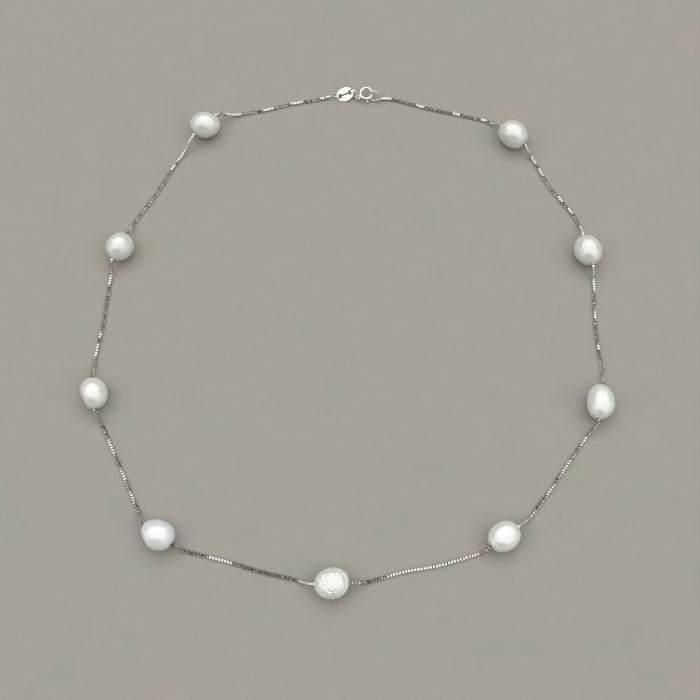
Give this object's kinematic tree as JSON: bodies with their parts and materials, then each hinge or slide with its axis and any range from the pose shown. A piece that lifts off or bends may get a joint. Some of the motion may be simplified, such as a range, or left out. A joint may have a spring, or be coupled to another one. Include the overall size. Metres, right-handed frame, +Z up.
{
  "type": "pearl choker necklace",
  "caption": "Pearl choker: drilled freshwater pearls spaced along a fine silver box chain, closed by a spring ring clasp with an oval tag.",
  "frame": {"origin": "middle of the loop on the surface that the necklace lies on", "axes": "+Z up; the clasp lies towards +Y; +X to the right as seen from above with the clasp away from the viewer"},
  "size_m": [0.1396, 0.1505, 0.0077],
  "materials": {
    "nacre": "soft satin lustre of natural nacre",
    "silver": "polished sterling silver"
  },
  "bodies": {
    "necklace": {"pearl_1": "nacre", "pearl_2": "nacre", "pearl_3": "nacre", "pearl_4": "nacre", "pearl_5": "nacre", "pearl_6": "nacre", "pearl_7": "nacre", "pearl_8": "nacre", "pearl_9": "nacre", "box_chain": "silver", "chain_end_left": "silver", "chain_end_right": "silver", "small_jump_ring": "silver", "oval_tag": "silver", "clasp_jump_ring": "silver", "catch_ring": "silver", "spring_ring": "silver"},
    "trigger": {"clasp_trigger": "silver"}
  },
  "joints": [
    {"name": "clasp_open", "type": "hinge", "parent": "necklace", "child": "trigger", "pos_m": [0.0048, 0.0726, 0.00175], "axis": [0, 0.225, -0.9744], "range_deg": [0, 42], "stiffness_Nm_per_rad": 0.002, "springref_deg": -20.05}
  ]
}
